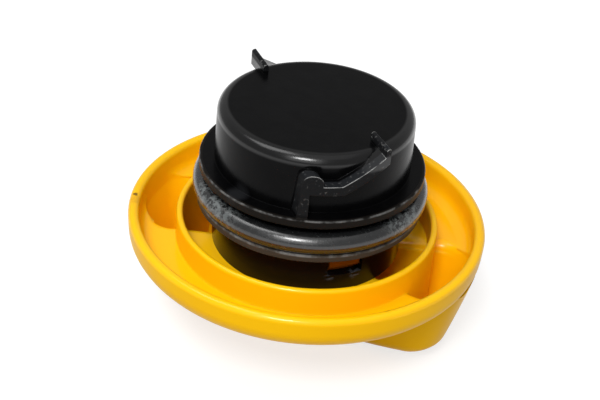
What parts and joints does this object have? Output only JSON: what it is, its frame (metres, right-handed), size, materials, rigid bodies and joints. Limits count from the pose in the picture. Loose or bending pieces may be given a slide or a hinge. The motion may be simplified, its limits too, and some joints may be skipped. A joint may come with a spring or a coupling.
{
  "type": "filler cap",
  "caption": "Round bayonet filler cap: yellow turning cover with a hollow grip bar, black domed plug with ramped lugs, and a rubber sealing ring.",
  "frame": {"origin": "on the cap's axis, at the middle of the pilot flange that centres the cap in the filler neck", "axes": "+Z out of the cover and into the filler neck, +X along the grip bar, +Y across it"},
  "size_m": [0.0798, 0.0798, 0.0572],
  "materials": {
    "cover_plastic": "glossy yellow moulded plastic with faint flow marks and a nicked lip",
    "plug_plastic": "black moulded plastic, smooth sheen, pale worn edges on the lugs and flanges",
    "seal_rubber": "satin black rubber with dry greyish scuffs"
  },
  "bodies": {
    "root": {"cover": "cover_plastic", "plug": "plug_plastic", "o_ring": "seal_rubber"}
  },
  "joints": []
}
